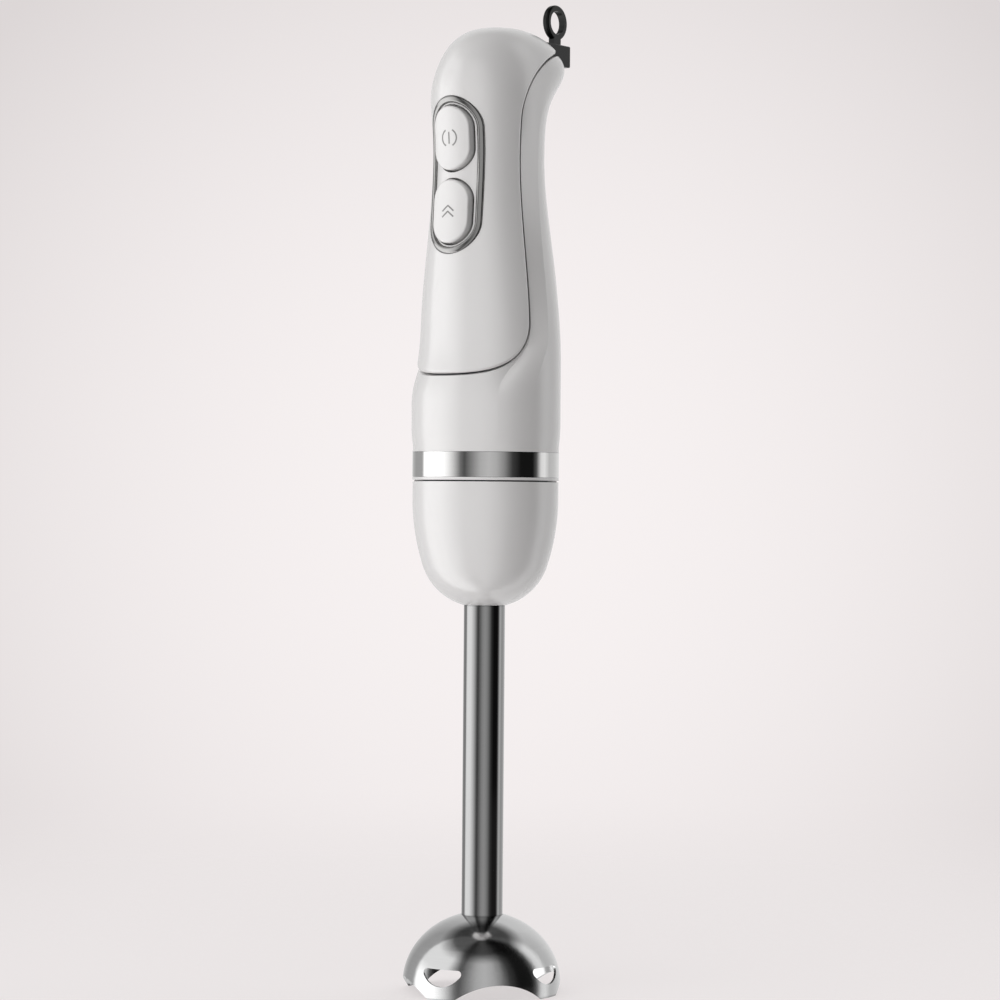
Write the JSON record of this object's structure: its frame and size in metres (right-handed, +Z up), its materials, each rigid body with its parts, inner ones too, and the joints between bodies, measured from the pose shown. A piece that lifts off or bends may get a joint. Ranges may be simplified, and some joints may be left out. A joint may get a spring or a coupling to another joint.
{
  "type": "immersion blender",
  "caption": "Hand-held immersion blender: a moulded motor handle with two push buttons over a twist-off steel leg that ends in a slotted bell guard round a spinning blade.",
  "frame": {"origin": "on the blade axis, in the plane of the guard's four feet", "axes": "+Z up the blade axis towards the handle's head, -Y the way the buttons face, +Y towards the cord gland"},
  "size_m": [0.0632, 0.0845, 0.4002],
  "materials": {
    "white_plastic": "satin moulded",
    "silver_trim": "satin",
    "polished_band": "polished",
    "blade_steel": "ground",
    "tube_steel": "brushed round",
    "guard_steel": "brushed",
    "black_plastic": "gloss moulded",
    "grey_plastic": "moulded",
    "seal_rubber": "matt",
    "lamination_steel": "laminated",
    "copper_wire": "enamelled",
    "sintered_bronze": "sintered",
    "brush_carbon": "carbon",
    "board_laminate": "laminate",
    "plated_screw": "zinc plated"
  },
  "bodies": {
    "motor_unit": {"rear_housing": "white_plastic", "front_cover": "white_plastic", "trim_band": "polished_band", "bezel_ring": "silver_trim", "button_panel": "white_plastic", "cord_gland": "black_plastic", "hanging_loop": "black_plastic", "power_switch": "black_plastic", "turbo_switch": "black_plastic", "power_spring": "plated_screw", "turbo_spring": "plated_screw", "circuit_board": "board_laminate", "board_screws": "plated_screw", "coupling_neck": "grey_plastic", "neck_screws": "plated_screw", "lower_bracket": "grey_plastic", "upper_bracket": "grey_plastic", "motor_bolts": "plated_screw", "stator_core": "lamination_steel", "field_coils": "copper_wire", "lower_bearing": "sintered_bronze", "upper_bearing": "sintered_bronze", "lower_damper": "seal_rubber", "upper_damper": "seal_rubber", "brush_holders": "sintered_bronze", "carbon_brushes": "brush_carbon"},
    "power_key": {"power_button": "white_plastic", "power_plunger": "black_plastic"},
    "turbo_key": {"turbo_button": "white_plastic", "turbo_plunger": "black_plastic"},
    "rotor": {"motor_shaft": "blade_steel", "armature_core": "lamination_steel", "armature_winding": "copper_wire", "commutator": "copper_wire", "cooling_fan": "black_plastic", "drive_coupling": "black_plastic"},
    "leg_seat": {"coupling_seal": "seal_rubber"},
    "leg": {"leg_cup": "white_plastic", "leg_socket": "grey_plastic", "tube_seal": "seal_rubber", "shaft_tube": "tube_steel", "blade_guard": "guard_steel", "guard_hub": "grey_plastic", "upper_leg_bush": "sintered_bronze", "lower_leg_bush": "sintered_bronze", "shaft_seal": "seal_rubber"},
    "blade_drive": {"drive_shaft": "blade_steel", "drive_dog": "grey_plastic", "shaft_clip": "plated_screw", "blade": "blade_steel", "blade_collar": "grey_plastic", "blade_nut": "blade_steel"}
  },
  "joints": [
    {"name": "power_press", "type": "slide", "parent": "motor_unit", "child": "power_key", "axis": [0, 1, 0], "range_m": [0, 0.0015], "stiffness_N_per_m": 900, "springref_m": -0.001, "deforming": ["power_spring"]},
    {"name": "turbo_press", "type": "slide", "parent": "motor_unit", "child": "turbo_key", "axis": [0, 1, 0], "range_m": [0, 0.0015], "stiffness_N_per_m": 900, "springref_m": -0.001, "deforming": ["turbo_spring"]},
    {"name": "rotor_spin", "type": "hinge", "parent": "motor_unit", "child": "rotor", "pos_m": [0, 0, 0.2424], "axis": [0, 0, 1], "continuous": true},
    {"name": "leg_pull", "type": "slide", "parent": "motor_unit", "child": "leg_seat", "axis": [0, 0, 1], "range_m": [-0.05, 0]},
    {"name": "leg_twist", "type": "hinge", "parent": "leg_seat", "child": "leg", "pos_m": [0, 0, 0.1936], "axis": [0, 0, 1], "range_deg": [0, 25]},
    {"name": "blade_spin", "type": "hinge", "parent": "leg_seat", "child": "blade_drive", "pos_m": [0, 0, 0.0106], "axis": [0, 0, 1], "continuous": true}
  ],
  "couplings": [
    {"joint": "blade_spin", "follows": "rotor_spin", "ratio": 1}
  ]
}
